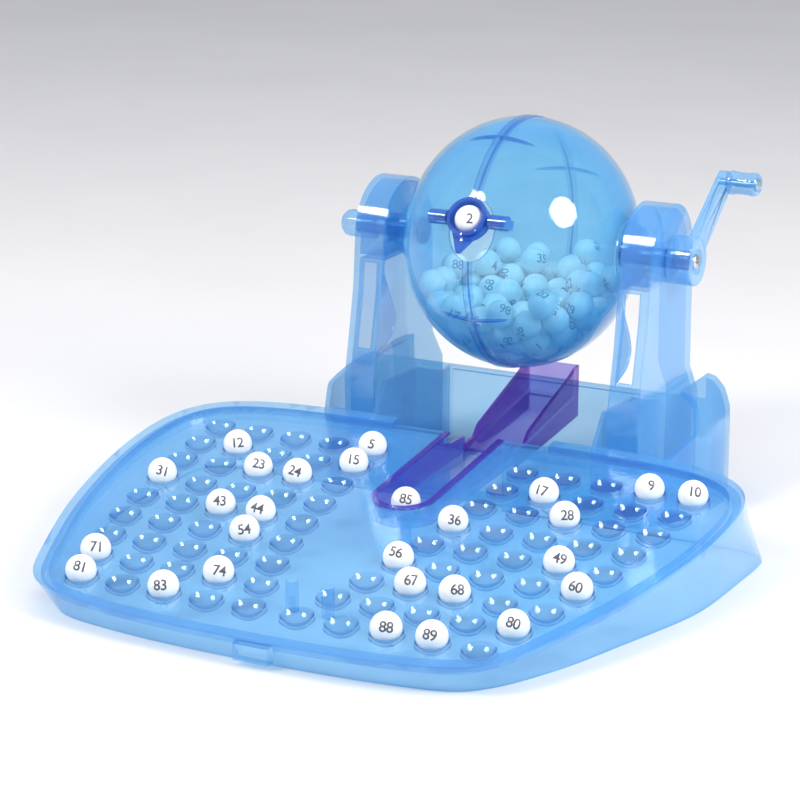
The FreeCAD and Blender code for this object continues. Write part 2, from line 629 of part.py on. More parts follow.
def globe_half(sign):
    s = outer_e.fuse(ring_x(43.0, d("collar_x").v, 0, d("collar_r").v)).fuse(ring_x(44.0, 49.1, 0, 14.4))
    s = s.fuse(ring_x(0.0, 2.2, 40.0, GR + (0.5 if sign < 0 else 0.3)))
    for t in (65.0, -25.0, 155.0, 245.0):
        s = s.fuse(clip_rib(t).common(Part.makeBox(80, 200, 200, V(0, -100, -100))))
    lug = Part.makeCylinder(d("lug_r").v, 7.8, V(9.6, pivot.y, pivot.z), V(1, 0, 0))
    foot = Part.makeBox(7.8, 4.0, 8.0, V(9.6, -2.0, PIV - 8.0))
    foot.rotate(V(0, 0, 0), V(1, 0, 0), 90 - GT)
    s = s.fuse(lug).fuse(foot)
    s = s.cut(inner_e)
    # four small keys round the pole collar
    for a in range(4):
        key = Part.makeBox(1.6, 1.4, 2.4, V(48.9, -0.7, 11.4))
        key.rotate(V(0, 0, 0), V(1, 0, 0), 45 + 90 * a)
        s = s.fuse(key)
    s = s.cut(Part.makeCylinder(d("axle_r").v + 0.02, 30, V(40, 0, 0), V(1, 0, 0)))
    w = win.copy()
    keep = Part.makeCylinder(d("lug_r").v, 7.8, V(9.6, pivot.y, pivot.z), V(1, 0, 0))
    s = s.cut(w.cut(keep))
    s = s.cut(Part.makeCylinder(d("trun_r").v + d("axle_gap").v, 6.4, V(9.0, pivot.y, pivot.z), V(1, 0, 0)))
    s = s.removeSplitter()
    sol = max(s.Solids, key=lambda q: q.Volume)
    if sign < 0:
        sol = sol.mirror(V(0, 0, 0), V(1, 0, 0))
        sol = sol.Solids[0]
    print("globe half", sign, sol.isValid(), round(sol.Volume), len(s.Solids))
    return sol


CENTRE = FreeCAD.Placement(V(0, AY, AZ), FreeCAD.Rotation())
feature("globe_right_half", globe_half(1), CENTRE)
feature("globe_left_half", globe_half(-1), CENTRE)

# ---------------------------------------------------------------- axles, end knob, crank
ar = d("axle_r")
b = new_body("right_axle", (46.7, AY, AZ), ALONG_X)
revolve(b, [(0, 0), (6.0, 0), (6.0, 1.3), (ar, 1.3), (ar, 29.0), (ar - 0.7, 29.7), (1.6, 29.7), (1.6, 22.9), (0, 22.9)])
b = new_body("left_axle", (-46.7, AY, AZ), ALONG_MX)
revolve(b, [(0, 0), (6.0, 0), (6.0, 1.3), (ar, 1.3), (ar, 31.0), (ar - 0.7, 31.7), (0, 31.7)])

cr = d("cap_r")
co = d("cap_out") - 69.4
b = new_body("left_end_knob", (-69.4, AY, AZ), ALONG_MX)
revolve(b, [(ar + 0.02, 0), (cr - 0.6, 0), (cr, 0.7), (cr, co - 4.4), (cr * 0.93, co - 2.5), (cr * 0.72, co - 0.95), (cr * 0.38, co - 0.15), (0, co), (0, 9.2), (ar + 0.02, 9.2)])

crank = new_body("crank")
tilt = math.radians(d("arm_tilt").v)
hy, hz = AY + d("arm_len").v * math.cos(tilt), AZ + d("arm_len").v * math.sin(tilt)
sk = new_sketch(crank, "YZ_Plane", "crank_hub_plan", d("hub_in"))
circle(sk, d("axle_y"), d("axle_z"), d("hub_r"))
pad(crank, sk, d("hub_out") - d("hub_in"), "crank_hub")
sk = new_sketch(crank, "YZ_Plane", "crank_arm_plan", d("arm_in"))
ux, uz = math.cos(tilt), math.sin(tilt)
w0, w1 = 5.6, 4.75
quad = [(AY - uz * w0, AZ + ux * w0), (AY + uz * w0, AZ - ux * w0), (hy + uz * w1, hz - ux * w1), (hy - uz * w1, hz + ux * w1)]
for i in range(4):
    p, q = quad[i], quad[(i + 1) % 4]
    sk.addGeometry(Part.LineSegment(V(p[0], p[1], 0), V(q[0], q[1], 0)), False)
pad(crank, sk, d("arm_out") - d("arm_in"), "crank_arm")
sk = new_sketch(crank, "YZ_Plane", "crank_eye_plan", d("arm_in"))
circle(sk, hy, hz, 4.75)
pad(crank, sk, d("arm_out") - d("arm_in"), "crank_eye")
sk = new_sketch(crank, "YZ_Plane", "crank_bore_plan", d("hub_in"))
circle(sk, d("axle_y"), d("axle_z"), d("axle_r") + 0.02)
pocket(crank, sk, 7.3, "crank_bore", rev=True)
sk = new_sketch(crank, "YZ_Plane", "crank_screw_plan", d("hub_out"))
circle(sk, d("axle_y"), d("axle_z"), 1.6)
pocket(crank, sk, 12.0, "crank_screw_hole")
sk = new_sketch(crank, "YZ_Plane", "crank_recess_plan", d("hub_out"))
circle(sk, d("axle_y"), d("axle_z"), 5.2)
pocket(crank, sk, 1.6, "crank_recess")
sk = new_sketch(crank, "YZ_Plane", "crank_pin_plan", d("arm_out"))
circle(sk, hy, hz, d("pin_r"))
pocket(crank, sk, 10.0, "crank_pin_hole")
b = new_body("crank_screw", (d("hub_out").v - 1.6, AY, AZ), ALONG_X)
revolve(b, [(0, -6.6), (0.9, -6.6), (1.5, -5.6), (1.5, 0.02), (3.1, 0.02), (3.1, 0.9), (2.5, 1.5), (1.4, 1.85), (0, 1.95)])
for k in range(2):
    sk = new_sketch(b, "XY_Plane", "crank_screw_slot%d" % k, 2.2)
    a, c = (2.0, 0.35) if k == 0 else (0.35, 2.0)
    outline(sk, [(-a, -c), (a, -c), (a, c), (-a, c)])
    pocket(b, sk, 1.5, "crank_screw_cross%d" % k)

kr, kl = d("knob_r"), d("knob_len")
b = new_body("crank_handle", (d("arm_out").v + 0.35, hy, hz), ALONG_X)
revolve(b, [(1.6, 0), (kr - 0.5, 0), (kr, 0.6), (kr, 2.2), (kr - 0.35, 4.5), (kr - 0.35, kl - 5.0), (kr, kl - 2.8), (kr - 0.25, kl - 1.2), (kr - 1.1, kl - 0.25), (kr - 1.8, kl), (2.9, kl), (2.9, kl - 1.7), (1.6, kl - 1.7)])
b = new_body("handle_pin", (d("arm_in").v, hy, hz), ALONG_X)
pl = d("arm_out") - d("arm_in") + 0.35 + kl
revolve(b, [(0, 0), (d("pin_r") - 0.01, 0), (d("pin_r") - 0.01, pl - 1.55), (2.6, pl - 1.55), (2.6, pl - 0.75), (1.9, pl - 0.25), (0, pl - 0.1)])

# ---------------------------------------------------------------- exit gate
# A short tube that holds one ball, on two trunnions along the globe's axis, with a
# pointed finger below it that closes the rest of the window.
TILT = 17.0


def gate_frame():
    """Local Z is the tube's axis, local X the globe's."""
    n = radial(GT + TILT)
    u = V(0, 1, 0)
    m = FreeCAD.Rotation(V(0, 0, 1), n)
    # keep X along the globe's axis
    ang = math.degrees(math.atan2(-n.y, n.z))
    return FreeCAD.Rotation(V(1, 0, 0), ang)


rot = gate_frame()
ro, ri = d("ring_r").v, d("ring_in").v
tube = Part.makeCylinder(ro, 6.2, V(0, 0, -2.6)).cut(Part.makeCylinder(ri, 8, V(0, 0, -1.8)))
tube = tube.cut(Part.makeCylinder(5.76, 8, V(0, 0, -4)))
finger = poly_prism([(-5.6, -6.6), (5.6, -6.6), (3.4, -10.6), (0.9, -15.6), (-0.9, -15.6), (-3.4, -10.6)], "Z", -1.9, -0.5)
finger = finger.cut(Part.makeCylinder(ri + 0.3, 12, V(0, 0, -6)))
finger.rotate(V(0, 0, 0), V(1, 0, 0), -9)
keel = poly_prism([(-8.0, -2.2), (-13.8, 0.4), (-13.0, 0.6), (-8.0, 2.4)], "X", -0.6, 0.6)
gate = tube.fuse(finger).fuse(keel)
for s in (1, -1):
    gate = gate.fuse(Part.makeCylinder(d("trun_r").v, 7.2, V(s * (ro - 0.7), 0, 0), V(s, 0, 0)))
gate = gate.cut(Part.makeCylinder(ri, 8, V(0, 0, -1.8))).cut(Part.makeSphere(6.03, V(0, 0, 0)))
gate = gate.removeSplitter()
print("gate", len(gate.Solids), gate.isValid())
gate_at = FreeCAD.Placement(V(0, AY, AZ) + pivot, rot)
feature("exit_gate", gate.Solids[0], gate_at)

# ---------------------------------------------------------------- chutes
cwid, ct = d("chute_w").v, d("chute_wall").v
wall_side = [(yy(9.62), 2.40 * P), (yy(9.10), 2.20 * P), (yy(6.85), 1.49 * P), (yy(6.60), 1.25 * P), (yy(6.12), 1.22 * P), (yy(6.12), 0.80 * P), (yy(9.62), 1.12 * P)]
floor_side = [(yy(9.62), 1.66 * P), (yy(6.12), 1.12 * P), (yy(6.12), 1.12 * P - 1.5), (yy(9.62), 1.66 * P - 1.5)]
up = poly_prism(wall_side, "X", cwid, cwid + ct)
up = up.fuse(poly_prism(wall_side, "X", -cwid - ct, -cwid))
up = up.fuse(poly_prism(floor_side, "X", -cwid - 0.5, cwid + 0.5))
back = poly_prism([(yy(9.62) - 1.5, 1.5 * P), (yy(9.62), 1.5 * P), (yy(9.62), 2.40 * P), (yy(9.62) - 1.5, 2.34 * P)], "X", -cwid - 0.5, cwid + 0.5)
up = up.fuse(back)
up = up.removeSplitter()
print("upper chute", len(up.Solids), up.isValid())
feature("upper_chute", up.Solids[0])

NOSE = yy(1.93)
LEND = yy(6.06)
zf0, zf1 = 16.2, 19.6
keep = Part.makeBox(2 * (cwid + ct), LEND - NOSE, 80, V(-cwid - ct, NOSE, 0)).fuse(Part.makeCylinder(cwid + ct, 80, V(0, NOSE, 0)))
lipk = Part.makeBox(2 * (cwid + 2.6), yy(5.3) - NOSE, 80, V(-cwid - 2.6, NOSE, 0)).fuse(Part.makeCylinder(cwid + 2.6, 80, V(0, NOSE, 0)))
belowf = poly_prism([(NOSE - 30, zf0 - 2.0), (NOSE, zf0 - 2.0), (LEND + 5, zf1 - 2.0), (LEND + 5, -5), (NOSE - 30, -5)], "X", -40, 40)
trough = keep.cut(belowf).cut(over_deck(0.0))
rear_cut = poly_prism([(yy(5.0), 60), (yy(5.0), 28.3), (yy(5.35), 26.6), (LEND + 5, 26.0), (LEND + 5, 60)], "X", -40, 40)
trough = trough.cut(rear_cut)
lip = lipk.common(over_deck(0.0)).cut(over_deck(0.9))
trough = trough.fuse(lip)
cav = Part.makeBox(2 * cwid, LEND - NOSE + 10, 80, V(-cwid, NOSE, 0)).fuse(Part.makeCylinder(cwid, 80, V(0, NOSE, 0)))
abovef = poly_prism([(NOSE - 30, zf0), (NOSE, zf0), (LEND + 12, zf1 + 0.1), (LEND + 12, 90), (NOSE - 30, 90)], "X", -40, 40)
trough = trough.cut(cav.common(abovef))
trough = trough.cut(Part.makeSphere(7.0, V(0, NOSE, zf0 + 7.0 - 0.9)))
# a low sill across the mouth of the catch cup
sill = poly_prism([(NOSE + 8.2, zf0 - 0.5), (NOSE + 9.8, zf0 - 0.5), (NOSE + 9.4, zf0 + 0.9), (NOSE + 8.6, zf0 + 0.9)], "X", -cwid - 0.4, cwid + 0.4)
trough = trough.fuse(sill).removeSplitter()
print("lower chute", len(trough.Solids), trough.isValid())
feature("lower_chute", trough.Solids[0])

b = new_body("chute_post", (0, NOSE, 0))
revolve(b, [(0, 0), (5.0, 0), (5.0, 1.4), (2.6, 2.6), (2.3, 3.4), (2.3, 11.3), (4.4, 13.4), (4.4, zf0 - 2.02), (0, zf0 - 2.02)])

# ---------------------------------------------------------------- balls
BR = d("ball_r")


def ball_group(label, centres):
    links = []
    for i, c in enumerate(centres):
        s = doc.addObject("Part::Sphere", "%s_%02d" % (label, i + 1))
        s.setExpression("Radius", BR.t)
        s.Placement = FreeCAD.Placement(V(*c), FreeCAD.Rotation())
        links.append(s)
    c = doc.addObject("Part::Compound", "Group_" + label)
    c.Links = links
    return done(c, label)


ON_BOARD = [5, 9, 10, 12, 15, 17, 23, 24, 28, 31, 36, 43, 44, 49, 54, 56, 60, 67, 68, 71, 74, 80, 81, 83, 88, 89]
seat = BR.v + 0.03 - cd_
spots = []
for n in ON_BOARD:
    x, k = cup_xy(n)
    q = deck_place(x * P, k, seat)
    spots.append((q.x, q.y, q.z))
ball_group("board_balls", spots)
ball_group("chute_ball", [(0, NOSE, zf0 - 0.9 + BR.v + 0.03)])
gp = V(0, AY, AZ) + pivot
ball_group("gate_ball", [(gp.x, gp.y, gp.z)])
PILE = [
    (-4.54, -1.48, -42.91), (-15.23, 4.23, -42.76), (5.73, 4.95, -42.65), (-14.84, -7.88, -42.41),
    (16.55, -0.50, -42.39), (6.42, -7.15, -42.34), (-4.96, 10.56, -41.62), (15.76, 11.58, -41.15),
    (-3.85, -13.40, -40.80), (17.12, -12.43, -40.25), (-13.99, 18.34, -39.41), (-14.17, -19.44, -38.80),
    (6.84, -18.69, -38.66), (-24.75, -0.99, -37.38), (9.86, 21.42, -37.22), (-2.51, 21.55, -37.14),
    (-23.32, 11.04, -36.84), (26.34, -3.57, -35.92), (-23.95, -12.97, -35.72), (-3.57, -24.26, -35.43),
    (25.98, 8.53, -35.38), (17.40, -23.32, -34.92), (21.56, 19.79, -34.37), (3.61, 11.94, -32.99),
    (26.24, -15.29, -32.79), (-11.65, 28.04, -32.52), (-13.98, -29.45, -31.97), (-22.46, 22.60, -31.86),
    (7.06, -28.83, -31.83), (9.15, 0.73, -31.82), (-2.91, 1.85, -31.38), (-9.98, -8.89, -31.35),
    (2.17, -9.16, -31.17), (3.78, 29.82, -30.90), (-15.01, 2.12, -30.83), (15.89, 29.80, -30.56),
    (-8.68, 12.44, -30.24), (-31.77, 5.59, -30.01), (-32.06, -6.52, -29.45), (15.18, 10.87, -29.06),
    (16.41, -8.50, -28.80), (30.73, 16.23, -27.29), (-3.47, -33.19, -27.24), (33.98, 4.55, -27.20),
    (-17.57, -18.89, -27.18), (33.62, -7.56, -27.06), (-29.81, -18.78, -26.85), (9.18, -18.02, -26.78),
    (17.52, -32.28, -26.76), (-31.40, 16.98, -25.90), (22.30, 1.64, -25.75), (-20.60, -7.26, -25.57),
    (26.99, -24.85, -25.38), (-4.19, -17.65, -25.29), (-19.73, 11.82, -25.29), (8.24, 20.06, -25.27),
    (-3.68, 22.22, -25.09), (-5.34, 35.02, -24.85), (-23.72, -29.05, -24.76), (25.97, 27.00, -24.43),
    (-17.42, 34.44, -24.00), (-13.98, -37.13, -22.60), (7.09, -36.64, -22.39), (3.92, 6.16, -22.33),
    (-15.39, 22.65, -22.01), (-27.25, 27.66, -21.93), (6.12, 37.15, -21.53), (-3.97, -5.13, -21.52),
    (-37.75, 0.08, -21.02), (22.99, -14.47, -20.56), (18.73, 35.88, -20.47), (19.03, 18.06, -20.09),
    (34.76, -17.31, -19.94), (-36.76, -11.92, -19.67), (27.68, 9.17, -17.92), (-37.89, 11.58, -17.20),
    (24.69, -33.34, -17.05), (33.97, 21.74, -16.99), (11.11, 27.51, -16.15), (-24.70, 17.50, -15.81),
    (-11.01, 40.08, -15.40), (-7.09, 28.09, -15.06), (-23.60, 35.74, -13.66), (12.13, 41.30, -11.86),
]
ball_group("globe_balls", [(x, AY + y, AZ + z) for x, y, z in PILE])

# ---------------------------------------------------------------- checks and files
doc.recompute()
bad = [o.Name for o in doc.Objects if "Invalid" in o.State or "Error" in o.State]
if bad:
    raise RuntimeError("failed objects: %s" % bad)
labels = set()
for o in OUT:
    if o.Shape.isNull() or not o.Shape.isValid() or not o.Shape.Solids:
        raise RuntimeError("bad shape: " + o.Label)
    if o.Label in labels:
        raise RuntimeError("label used twice: " + o.Label)
    labels.add(o.Label)
os.makedirs("parts", exist_ok=True)
for old in os.listdir("parts"):
    if old.endswith(".step") and old[:-5] not in labels:
        os.remove(os.path.join("parts", old))
lo = [1e9] * 3
hi = [-1e9] * 3
for o in OUT:
    o.Shape.exportStep(os.path.join("parts", o.Label + ".step"))
    bb = o.Shape.BoundBox
    lo = [min(a, b) for a, b in zip(lo, (bb.XMin, bb.YMin, bb.ZMin))]
    hi = [max(a, b) for a, b in zip(hi, (bb.XMax, bb.YMax, bb.ZMax))]
    print("%-22s solids %3d  vol %10.1f  x %.1f..%.1f y %.1f..%.1f z %.1f..%.1f" % (o.Label, len(o.Shape.Solids), o.Shape.Volume, bb.XMin, bb.XMax, bb.YMin, bb.YMax, bb.ZMin, bb.ZMax))
print("box", [round(v, 2) for v in lo], [round(v, 2) for v in hi])
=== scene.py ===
import json
import math
import random

import bmesh
import bpy
from mathutils import Matrix, Vector


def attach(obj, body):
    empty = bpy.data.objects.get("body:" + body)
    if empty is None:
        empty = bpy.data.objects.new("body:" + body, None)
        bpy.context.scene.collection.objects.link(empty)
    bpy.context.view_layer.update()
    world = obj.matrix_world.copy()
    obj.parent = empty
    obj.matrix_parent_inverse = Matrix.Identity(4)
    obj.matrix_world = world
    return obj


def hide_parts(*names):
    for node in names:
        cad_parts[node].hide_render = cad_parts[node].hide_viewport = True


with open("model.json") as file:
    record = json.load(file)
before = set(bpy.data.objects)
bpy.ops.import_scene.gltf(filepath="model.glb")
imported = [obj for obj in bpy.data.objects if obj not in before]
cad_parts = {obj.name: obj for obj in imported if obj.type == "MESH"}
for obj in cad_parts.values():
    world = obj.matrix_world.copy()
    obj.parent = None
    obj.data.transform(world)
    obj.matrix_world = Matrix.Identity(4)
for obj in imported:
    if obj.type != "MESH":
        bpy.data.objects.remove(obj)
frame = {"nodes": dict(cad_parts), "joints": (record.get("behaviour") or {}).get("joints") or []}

MM = 0.001
rng = random.Random(41)
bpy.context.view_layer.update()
NODES = frame["nodes"]
JOINTS = {j["name"]: j for j in frame["joints"]}


# ------------------------------------------------------------------ materials
class Tree:
    """Small helper round a material's node tree."""

    def __init__(self, name):
        self.mat = bpy.data.materials.new(name)
        self.mat.use_nodes = True
        self.t = self.mat.node_tree
        self.t.nodes.clear()
        self.out = self.t.nodes.new("ShaderNodeOutputMaterial")
        self.co = self.t.nodes.new("ShaderNodeTexCoord").outputs["Object"]

    def node(self, kind, **vals):
        n = self.t.nodes.new(kind)
        for k, v in vals.items():
            if hasattr(n, k) and not isinstance(v, bpy.types.NodeSocket):
                setattr(n, k, v)
        return n

    def link(self, a, b):
        self.t.links.new(a, b)

    def noise(self, scale, detail=3.0, rough=0.5, stretch=None):
        n = self.t.nodes.new("ShaderNodeTexNoise")
        n.inputs["Scale"].default_value = scale
        n.inputs["Detail"].default_value = detail
        n.inputs["Roughness"].default_value = rough
        src = self.co
        if stretch:
            mp = self.t.nodes.new("ShaderNodeMapping")
            mp.inputs["Scale"].default_value = stretch
            self.link(self.co, mp.inputs["Vector"])
            src = mp.outputs["Vector"]
        self.link(src, n.inputs["Vector"])
        return n.outputs["Fac"]

    def ramp(self, fac, stops):
        r = self.t.nodes.new("ShaderNodeValToRGB")
        e = r.color_ramp.elements
        while len(e) < len(stops):
            e.new(0.5)
        for el, (pos, col) in zip(e, stops):
            el.position = pos
            el.color = col if len(col) == 4 else (*col, 1.0)
        self.link(fac, r.inputs["Fac"])
        return r.outputs["Color"]

    def span(self, fac, lo, hi, a=0.3, b=0.7):
        m = self.t.nodes.new("ShaderNodeMapRange")
        m.inputs["From Min"].default_value = a
        m.inputs["From Max"].default_value = b
        m.inputs["To Min"].default_value = lo
        m.inputs["To Max"].default_value = hi
        self.link(fac, m.inputs["Value"])
        return m.outputs["Result"]

    def math(self, op, a, b):
        m = self.t.nodes.new("ShaderNodeMath")
        m.operation = op
        for s, v in zip(m.inputs, (a, b)):
            if isinstance(v, bpy.types.NodeSocket):
                self.link(v, s)
            else:
                s.default_value = v
        return m.outputs[0]

    def bump(self, fac, strength, dist):
        b = self.t.nodes.new("ShaderNodeBump")
        b.inputs["Strength"].default_value = strength
        b.inputs["Distance"].default_value = dist
        self.link(fac, b.inputs["Height"])
        return b.outputs["Normal"]


def clear_plastic(name, tint_a, tint_b, body, see=0.12, edge=0.5, rough=0.07, power=2.2, grain=1.0):
    """Translucent moulded plastic: tinted see-through wall, a little coloured haze that
    thickens where the wall is seen edge on, and a gloss over all of it."""
    t = Tree(name)
    flow = t.noise(38.0, 3.0, 0.55)
    haze = t.noise(420.0, 4.0, 0.6)
    scuff = t.noise(900.0, 2.0, 0.7, stretch=(1.0, 0.16, 1.0))
    tint = t.ramp(flow, [(0.30, tint_a), (0.70, tint_b)])
    skin = t.ramp(flow, [(0.25, tuple(c * 0.88 for c in body)), (0.75, body)])
    height = t.math("ADD", t.math("MULTIPLY", haze, 0.30 * grain), t.math("MULTIPLY", flow, 0.8))
    normal = t.bump(height, 0.10, 0.0004)
    tr = t.t.nodes.new("ShaderNodeBsdfTransparent")
    t.link(tint, tr.inputs["Color"])
    p = t.t.nodes.new("ShaderNodeBsdfPrincipled")
    t.link(skin, p.inputs["Base Color"])
    t.link(t.span(scuff, rough * 0.7, rough * 1.5), p.inputs["Roughness"])
    p.inputs["IOR"].default_value = 1.49
    t.link(normal, p.inputs["Normal"])
    lw = t.t.nodes.new("ShaderNodeLayerWeight")
    lw.inputs["Blend"].default_value = 0.5
    facing = lw.outputs["Facing"]
    fac = t.math("MINIMUM", t.math("ADD", t.math("MULTIPLY", t.math("POWER", facing, power), edge), see), 0.96)
    mix = t.t.nodes.new("ShaderNodeMixShader")
    t.link(fac, mix.inputs["Fac"])
    t.link(tr.outputs[0], mix.inputs[1])
    t.link(p.outputs[0], mix.inputs[2])
    gl = t.t.nodes.new("ShaderNodeBsdfAnisotropic")
    gl.inputs["Color"].default_value = (1, 1, 1, 1)
    t.link(t.span(scuff, rough * 0.7, rough * 1.5), gl.inputs["Roughness"])
    t.link(normal, gl.inputs["Normal"])
    gloss = t.math("ADD", t.math("MULTIPLY", t.math("POWER", facing, 5.0), 0.80), 0.045)
    top = t.t.nodes.new("ShaderNodeMixShader")
    t.link(gloss, top.inputs["Fac"])
    t.link(mix.outputs[0], top.inputs[1])
    t.link(gl.outputs[0], top.inputs[2])
    t.link(top.outputs[0], t.out.inputs["Surface"])
    return t.mat


def ball_plastic(name, base, shade, rough=0.34, sub=0.25):
    t = Tree(name)
    cloud = t.noise(95.0, 3.0, 0.55)
    fine = t.noise(1400.0, 3.0, 0.6)
    col = t.ramp(cloud, [(0.32, shade), (0.66, base)])
    p = t.t.nodes.new("ShaderNodeBsdfPrincipled")
    t.link(col, p.inputs["Base Color"])
    t.link(t.span(fine, rough * 0.8, rough * 1.3), p.inputs["Roughness"])
    p.inputs["Subsurface Weight"].default_value = sub
    p.inputs["Subsurface Scale"].default_value = 0.0015
    p.inputs["Subsurface Radius"].default_value = (1.0, 0.9, 0.8)
    t.link(t.bump(fine, 0.12, 0.0001), p.inputs["Normal"])
    t.link(p.outputs[0], t.out.inputs["Surface"])
    return t.mat


def ink(name, colour):
    t = Tree(name)
    wear = t.noise(1800.0, 3.0, 0.6)
    col = t.ramp(wear, [(0.35, tuple(c * 0.75 for c in colour)), (0.75, tuple(min(1, c * 1.45) for c in colour))])
    p = t.t.nodes.new("ShaderNodeBsdfPrincipled")
    t.link(col, p.inputs["Base Color"])
    t.link(t.span(wear, 0.35, 0.55), p.inputs["Roughness"])
    t.link(p.outputs[0], t.out.inputs["Surface"])
    return t.mat


def steel(name):
    t = Tree(name)
    lines = t.noise(2200.0, 2.0, 0.5, stretch=(0.06, 1.0, 1.0))
    col = t.ramp(lines, [(0.3, (0.52, 0.53, 0.55)), (0.7, (0.74, 0.75, 0.77))])
    p = t.t.nodes.new("ShaderNodeBsdfPrincipled")
    t.link(col, p.inputs["Base Color"])
    p.inputs["Metallic"].default_value = 1.0
    t.link(t.span(lines, 0.22, 0.36), p.inputs["Roughness"])
    t.link(t.bump(lines, 0.15, 0.00005), p.inputs["Normal"])
    t.link(p.outputs[0], t.out.inputs["Surface"])
    return t.mat


BOARD = clear_plastic("board_blue", (0.765, 0.915, 0.99), (0.80, 0.93, 0.995), (0.14, 0.46, 0.86), see=0.13, edge=0.34)
BOARD_RIM = clear_plastic("board_rim_blue", (0.58, 0.80, 0.97), (0.64, 0.84, 0.98), (0.08, 0.31, 0.74), see=0.24, edge=0.5)
CUP = clear_plastic("cup_blue", (0.64, 0.84, 0.98), (0.70, 0.88, 0.99), (0.012, 0.09, 0.40), see=0.04, edge=1.5, power=2.8, rough=0.04, grain=0.3)
STAND = clear_plastic("stand_blue", (0.67, 0.875, 0.985), (0.73, 0.905, 0.99), (0.12, 0.42, 0.84), see=0.12, edge=0.50)
PILLAR = clear_plastic("pillar_blue", (0.73, 0.90, 0.99), (0.79, 0.925, 0.995), (0.14, 0.44, 0.86), see=0.16, edge=0.52)
GLOBE = clear_plastic("globe_blue", (0.72, 0.915, 0.985), (0.77, 0.935, 0.99), (0.12, 0.47, 0.86), see=0.11, edge=0.70, power=2.4, rough=0.05, grain=0.4)
SEAM = clear_plastic("globe_seam_blue", (0.60, 0.80, 0.96), (0.66, 0.84, 0.97), (0.03, 0.20, 0.62), see=0.20, edge=0.6)
TRIM = clear_plastic("globe_clip_blue", (0.44, 0.66, 0.93), (0.50, 0.72, 0.95), (0.02, 0.13, 0.52), see=0.45, edge=0.5)
CRANK = clear_plastic("crank_blue", (0.67, 0.855, 0.98), (0.73, 0.885, 0.99), (0.20, 0.52, 0.92), see=0.20, edge=0.5)
GATE = clear_plastic("gate_blue", (0.42, 0.60, 0.95), (0.48, 0.66, 0.97), (0.02, 0.10, 0.50), see=0.45, edge=0.50)
CHUTE = clear_plastic("chute_violet", (0.60, 0.40, 0.86), (0.66, 0.46, 0.89), (0.15, 0.02, 0.38), see=0.30, edge=0.6)
CHUTE_FLOOR = clear_plastic("chute_floor_violet", (0.70, 0.66, 0.95), (0.76, 0.72, 0.97), (0.13, 0.10, 0.56), see=0.14, edge=0.4)
CHUTE_LOW = clear_plastic("chute_low_blue", (0.74, 0.84, 0.98), (0.79, 0.87, 0.99), (0.10, 0.30, 0.72), see=0.10, edge=0.45, power=2.4)
CHUTE_EDGE = clear_plastic("chute_edge_violet", (0.46, 0.40, 0.84), (0.52, 0.46, 0.87), (0.07, 0.02, 0.32), see=0.40, edge=0.6, power=1.8)
CHUTE_WALL = clear_plastic("chute_wall_violet", (0.70, 0.68, 0.94), (0.75, 0.73, 0.95), (0.10, 0.08, 0.52), see=0.12, edge=0.7, power=2.2)
BALL = ball_plastic("ball_white", (0.93, 0.92, 0.90), (0.87, 0.86, 0.85))
INK = ink("number_ink", (0.075, 0.075, 0.095))
# Numbers on the balls inside the globe are the same print as INK, painted paler and bluish: a painted haze of the light
# the blue shell scatters over them.
INK_UNDER_PAINTED_HAZE = ink("globe_number_ink_painted_haze", (0.30, 0.33, 0.38))
STEEL = steel("pin_steel")

LOOK = {
    "ball_board": BOARD, "stand_base": STAND, "right_pillar": PILLAR, "left_pillar": PILLAR,
    "right_bearing_plate": PILLAR, "left_bearing_plate": PILLAR,
    "globe_right_half": GLOBE, "globe_left_half": GLOBE, "right_axle": GATE, "left_axle": GATE,
    "left_end_knob": CRANK, "crank": CRANK, "crank_handle": CRANK, "crank_screw": STEEL, "handle_pin": STEEL,
    "exit_gate": GATE, "upper_chute": CHUTE, "lower_chute": CHUTE_LOW, "chute_post": CHUTE_LOW,
}
BEVEL = {
    "ball_board": (0.55, 3), "stand_base": (0.4, 2), "right_pillar": (0.5, 3), "left_pillar": (0.5, 3),
    "right_bearing_plate": (0.25, 2), "left_bearing_plate": (0.25, 2),
    "globe_right_half": (0.2, 2), "globe_left_half": (0.2, 2), "left_end_knob": (0.2, 2),
    "crank": (0.7, 3), "crank_handle": (0.25, 2), "exit_gate": (0.2, 2), "upper_chute": (0.3, 2), "lower_chute": (0.3, 2),
    "chute_post": (0.2, 2), "right_axle": (0.15, 2), "left_axle": (0.15, 2), "crank_screw": (0.1, 2), "handle_pin": (0.1, 2),
}

for name, mat in LOOK.items():
    ob = NODES[name]
    ob.data.materials.clear()
    ob.data.materials.append(mat)
    for poly in ob.data.polygons:
        poly.use_smooth = True
    w = ob.modifiers.new("weld", "WELD")
    w.merge_threshold = 0.000002
    wid, seg = BEVEL[name]
    b = ob.modifiers.new("bevel", "BEVEL")
    b.width = wid * MM
    b.segments = seg
    b.limit_method = "ANGLE"
    b.angle_limit = math.radians(38)
    b.use_clamp_overlap = True
    b.harden_normals = False
    b.miter_outer = "MITER_ARC"
    wn = ob.modifiers.new("normals", "WEIGHTED_NORMAL")
    wn.keep_sharp = True
    wn.weight = 80


# Faces of one moulding that read differently: the globe's seam, clips, lugs and window
# rim, the walls of the ball cups, and the inner wall of the board's rim.
CEN = Vector(JOINTS["globe_spin"]["pos_m"])
P = 18.5 * MM
CUP_X = [1.86, 1.82, 1.73, 1.61, 1.50, 1.33, 1.10, 0.83, 0.55]
CUP_Y = [3.94, 2.97, 2.02, 1.00, 0.00, -0.98, -1.96, -2.89, -3.87]
ALPHA = math.radians(6.73)
R5, MID = -48.6 * MM, 19.4 * MM


def cup_point(n):
    i, j = (n - 1) // 10, (n - 1) % 10
    x = CUP_X[i] + (j - 5) if j >= 5 else -(CUP_X[i] + (4 - j))
    return Vector((x * P, CUP_Y[i] * P))


def on_deck(p):
    """x, distance up the deck and height off it."""
    y, z = p.y - R5, p.z - MID
    return p.x, y * math.cos(ALPHA) + z * math.sin(ALPHA), z * math.cos(ALPHA) - y * math.sin(ALPHA)


